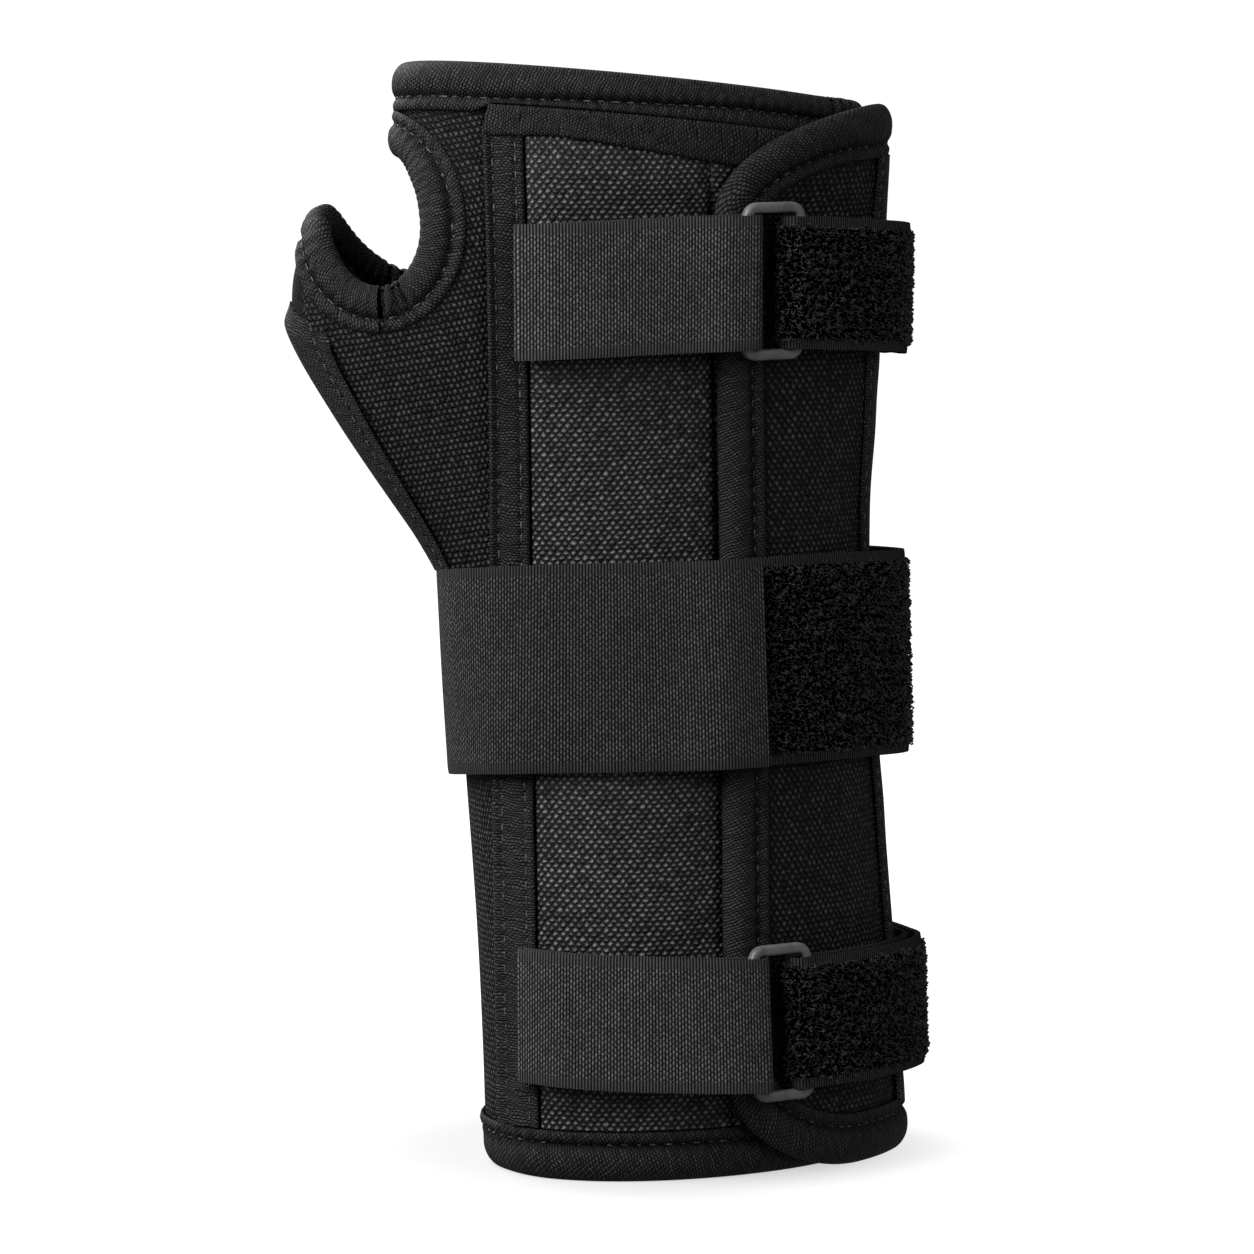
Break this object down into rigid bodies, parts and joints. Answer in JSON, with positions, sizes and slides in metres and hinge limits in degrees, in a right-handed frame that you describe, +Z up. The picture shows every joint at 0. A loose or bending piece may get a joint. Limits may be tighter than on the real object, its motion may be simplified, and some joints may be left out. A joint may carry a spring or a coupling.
{
  "type": "wrist brace",
  "caption": "Padded wrap-around wrist brace with bound edges, a thumb opening, a front splint pocket, ring-buckle straps and a wide elastic wrist band, standing on its forearm end.",
  "frame": {"origin": "on the floor, under the middle of the bounding box", "axes": "+Z up along the forearm to the fingers, -Y to the front with the splint pocket, -X to the thumb side"},
  "size_m": [0.1208, 0.0775, 0.2076],
  "materials": {
    "cloth": "padded plain-weave cloth",
    "pocket": "coarse woven cloth",
    "tape": "ribbed binding tape",
    "elastic": "ribbed elastic webbing",
    "pile": "loop pile",
    "plastic": "satin"
  },
  "bodies": {
    "root": {"sleeve": "cloth", "splint_pocket": "pocket", "top_binding": "tape", "bottom_binding": "tape", "flap_binding": "tape", "thumb_binding": "tape", "thumb_seam_tape": "tape", "pocket_side_tape": "tape", "pocket_top_tape": "tape", "side_seam_tape": "tape", "upper_ring_tab": "elastic", "middle_band": "elastic", "lower_ring_tab": "elastic", "upper_pull_strap": "pile", "middle_loop_strap": "pile", "lower_pull_strap": "pile", "upper_ring": "plastic", "lower_ring": "plastic"}
  },
  "joints": []
}
